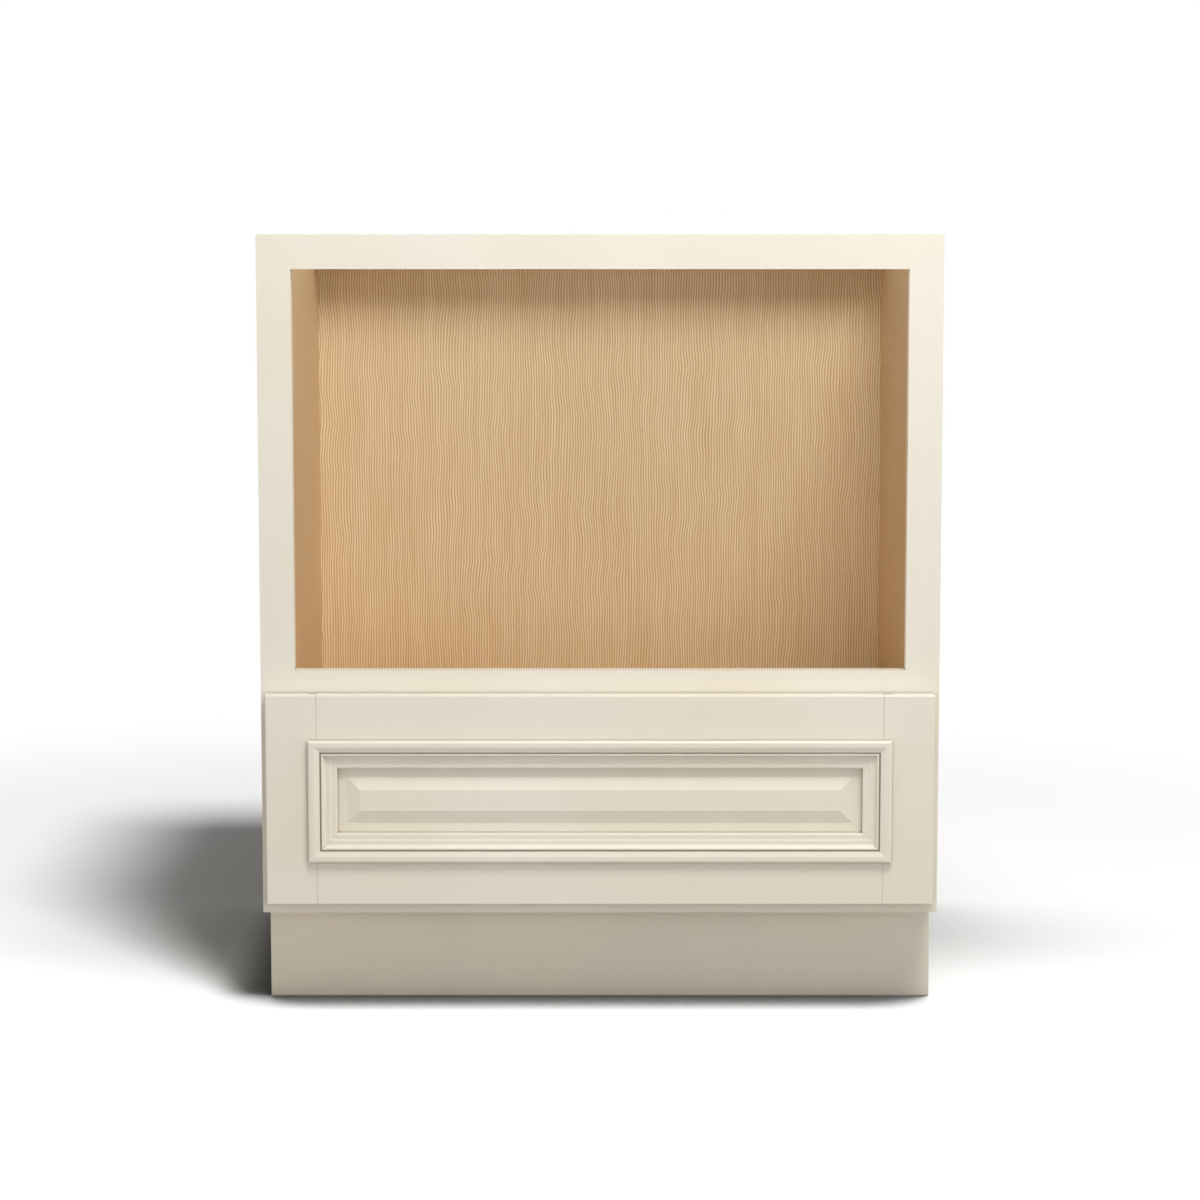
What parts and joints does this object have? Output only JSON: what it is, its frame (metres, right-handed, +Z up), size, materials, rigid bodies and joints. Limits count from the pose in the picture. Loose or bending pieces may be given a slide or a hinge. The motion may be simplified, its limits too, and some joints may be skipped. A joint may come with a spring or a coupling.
{
  "type": "microwave base cabinet",
  "caption": "Painted face-frame base cabinet with an open microwave niche over a full-width drawer with a raised-panel front and an applied moulding.",
  "frame": {"origin": "on the floor, under the middle of the whole object's box", "axes": "+X to the right seen from the front, +Y from the drawer front to the wall, +Z up"},
  "size_m": [0.762, 0.6374, 0.8763],
  "materials": {
    "cream_paint": "smooth satin cream paint on solid wood",
    "side_panel": "plywood, cream paint outside and clear-coated maple veneer inside",
    "maple_veneer": "clear-coated maple veneer, fine vertical grain, satin",
    "plywood": "bare plywood",
    "drawer_maple": "clear-coated solid maple, satin",
    "drawer_ply": "clear-coated maple plywood, satin",
    "zinc_steel": "zinc-plated sheet steel",
    "screw_steel": "zinc-plated screws",
    "grey_plastic": "moulded grey plastic",
    "white_plastic": "natural nylon",
    "orange_plastic": "moulded orange plastic",
    "bumper_rubber": "soft clear bumper"
  },
  "bodies": {
    "cabinet": {"left_stile": "cream_paint", "right_stile": "cream_paint", "top_rail": "cream_paint", "middle_rail": "cream_paint", "bottom_rail": "cream_paint", "left_side_panel": "side_panel", "right_side_panel": "side_panel", "back_panel": "maple_veneer", "upper_hanging_rail": "plywood", "lower_hanging_rail": "plywood", "floor_panel": "maple_veneer", "toe_kick_board": "cream_paint", "microwave_deck": "maple_veneer", "deck_front_board": "maple_veneer", "back_stretcher": "plywood", "front_corner_braces": "plywood", "left_fixed_rail": "zinc_steel", "right_fixed_rail": "zinc_steel", "rear_rail_brackets": "zinc_steel", "bracket_screws": "screw_steel", "rail_screws": "screw_steel", "left_damper_housing": "grey_plastic", "right_damper_housing": "grey_plastic"},
    "drawer": {"left_drawer_runner": "zinc_steel", "right_drawer_runner": "zinc_steel", "drawer_side_left": "drawer_maple", "drawer_side_right": "drawer_maple", "drawer_box_front": "drawer_maple", "drawer_box_back": "drawer_maple", "drawer_bottom": "drawer_ply", "front_stile_left": "cream_paint", "front_stile_right": "cream_paint", "front_rail_top": "cream_paint", "front_rail_bottom": "cream_paint", "raised_panel": "cream_paint", "moulding_top": "cream_paint", "moulding_bottom": "cream_paint", "moulding_left": "cream_paint", "moulding_right": "cream_paint", "drawer_front_screws": "screw_steel", "front_bumpers": "bumper_rubber", "left_locking_device": "grey_plastic", "right_locking_device": "grey_plastic", "locking_device_screws": "screw_steel"},
    "left_runner": {"left_middle_runner": "zinc_steel"},
    "right_runner": {"right_middle_runner": "zinc_steel"},
    "left_lower_cage": {"left_lower_roller_cage": "white_plastic"},
    "right_lower_cage": {"right_lower_roller_cage": "white_plastic"},
    "left_upper_cage": {"left_upper_roller_cage": "white_plastic"},
    "right_upper_cage": {"right_upper_roller_cage": "white_plastic"},
    "left_lever": {"left_release_lever": "orange_plastic"},
    "right_lever": {"right_release_lever": "orange_plastic"}
  },
  "joints": [
    {"name": "drawer_slide", "type": "slide", "parent": "cabinet", "child": "drawer", "axis": [0, -1, 0], "range_m": [0, 0.52]},
    {"name": "left_runner_slide", "type": "slide", "parent": "cabinet", "child": "left_runner", "axis": [0, -1, 0], "range_m": [0, 0.26]},
    {"name": "right_runner_slide", "type": "slide", "parent": "cabinet", "child": "right_runner", "axis": [0, -1, 0], "range_m": [0, 0.26]},
    {"name": "left_lower_cage_slide", "type": "slide", "parent": "cabinet", "child": "left_lower_cage", "axis": [0, -1, 0], "range_m": [0, 0.13]},
    {"name": "right_lower_cage_slide", "type": "slide", "parent": "cabinet", "child": "right_lower_cage", "axis": [0, -1, 0], "range_m": [0, 0.13]},
    {"name": "left_upper_cage_slide", "type": "slide", "parent": "cabinet", "child": "left_upper_cage", "axis": [0, -1, 0], "range_m": [0, 0.39]},
    {"name": "right_upper_cage_slide", "type": "slide", "parent": "cabinet", "child": "right_upper_cage", "axis": [0, -1, 0], "range_m": [0, 0.39]},
    {"name": "left_lever_pivot", "type": "hinge", "parent": "drawer", "child": "left_lever", "pos_m": [-0.2695, -0.25877, 0.1736], "axis": [0, 0, -1], "range_deg": [0, 12], "stiffness_Nm_per_rad": 0.1},
    {"name": "right_lever_pivot", "type": "hinge", "parent": "drawer", "child": "right_lever", "pos_m": [0.2695, -0.25877, 0.1736], "axis": [0, 0, 1], "range_deg": [0, 12], "stiffness_Nm_per_rad": 0.1}
  ],
  "couplings": [
    {"joint": "left_runner_slide", "follows": "drawer_slide", "ratio": 0.5},
    {"joint": "right_runner_slide", "follows": "drawer_slide", "ratio": 0.5},
    {"joint": "left_lower_cage_slide", "follows": "drawer_slide", "ratio": 0.25},
    {"joint": "right_lower_cage_slide", "follows": "drawer_slide", "ratio": 0.25},
    {"joint": "left_upper_cage_slide", "follows": "drawer_slide", "ratio": 0.75},
    {"joint": "right_upper_cage_slide", "follows": "drawer_slide", "ratio": 0.75}
  ]
}
